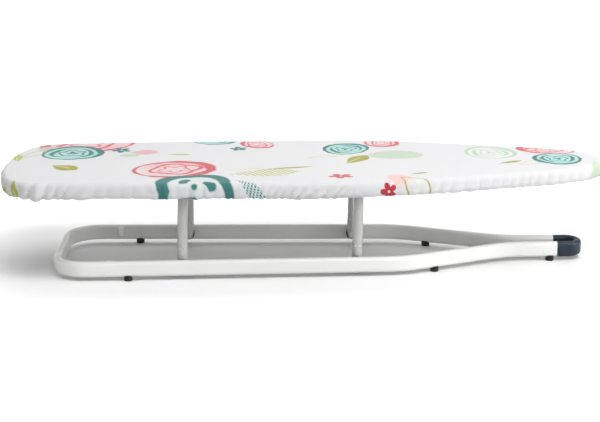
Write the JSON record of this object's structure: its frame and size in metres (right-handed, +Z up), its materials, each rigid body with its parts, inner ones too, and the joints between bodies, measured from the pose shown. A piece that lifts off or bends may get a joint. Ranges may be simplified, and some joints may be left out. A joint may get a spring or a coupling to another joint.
{
  "type": "table-top ironing board",
  "caption": "Long padded ironing surface with a rounded nose and a printed cotton cover, on two folding tube legs over a low tube base whose dark nose loop hangs it up.",
  "frame": {"origin": "on the floor, under the middle of the board's length and width, at the undersides of the feet", "axes": "+X along the board to its nose, +Y to the far side, +Z up"},
  "size_m": [0.95, 0.3, 0.164],
  "materials": {
    "white_steel": "gloss white powder coat",
    "grey_mesh_steel": "satin light grey coat",
    "slate_plastic": "satin moulded slate blue plastic",
    "black_rubber": "matt",
    "black_nylon": "satin moulded",
    "white_plastic": "gloss moulded",
    "plated_steel": "bright plated",
    "printed_cotton": "plain-weave white cotton with a printed pattern of flowers and leaves",
    "foam": "soft open foam",
    "elastic": "woven elastic band"
  },
  "bodies": {
    "base": {"base_tube": "white_steel", "end_cap": "slate_plastic", "foot_rear_near": "black_rubber", "foot_rear_far": "black_rubber", "foot_middle_near": "black_rubber", "foot_middle_far": "black_rubber", "foot_nose_near": "black_rubber", "foot_nose_far": "black_rubber", "storage_clip_near": "white_plastic", "storage_clip_far": "white_plastic"},
    "rear_leg_frame": {"rear_leg": "white_steel", "rear_cross_pins": "plated_steel", "rear_stop_lug": "white_steel", "leg_plug_rear_near": "black_nylon", "leg_plug_rear_far": "black_nylon", "pivot_pin_rear_near": "plated_steel", "pivot_pin_rear_far": "plated_steel", "pivot_washer_rear_near": "black_nylon", "pivot_washer_rear_far": "black_nylon"},
    "front_leg_frame": {"front_leg": "white_steel", "front_cross_pins": "plated_steel", "front_stop_lug": "white_steel", "leg_plug_front_near": "black_nylon", "leg_plug_front_far": "black_nylon", "pivot_pin_front_near": "plated_steel", "pivot_pin_front_far": "plated_steel", "pivot_washer_front_near": "black_nylon", "pivot_washer_front_far": "black_nylon"},
    "board": {"cover": "printed_cotton", "pad": "foam", "top_mesh": "grey_mesh_steel", "rim_tube": "white_steel", "hem_elastic": "elastic", "rear_cross_rail": "white_steel", "rear_strap_rivets": "plated_steel", "bearing_rear_near": "black_nylon", "bearing_rear_far": "black_nylon", "strap_rear_near": "white_steel", "strap_rear_far": "white_steel", "front_cross_rail": "white_steel", "front_strap_rivets": "plated_steel", "bearing_front_near": "black_nylon", "bearing_front_far": "black_nylon", "strap_front_near": "white_steel", "strap_front_far": "white_steel"}
  },
  "joints": [
    {"name": "rear_leg_fold", "type": "hinge", "parent": "base", "child": "rear_leg_frame", "pos_m": [-0.193, 0, 0.021], "axis": [0, -1, 0], "range_deg": [0, 90]},
    {"name": "front_leg_fold", "type": "hinge", "parent": "base", "child": "front_leg_frame", "pos_m": [0.0785, 0, 0.021], "axis": [0, -1, 0], "range_deg": [0, 90]},
    {"name": "board_fold", "type": "hinge", "parent": "rear_leg_frame", "child": "board", "pos_m": [-0.1902, 0, 0.12796], "axis": [0, -1, 0], "range_deg": [-90, 0]}
  ],
  "couplings": [
    {"joint": "front_leg_fold", "follows": "rear_leg_fold", "ratio": 1},
    {"joint": "board_fold", "follows": "rear_leg_fold", "ratio": -1}
  ]
}
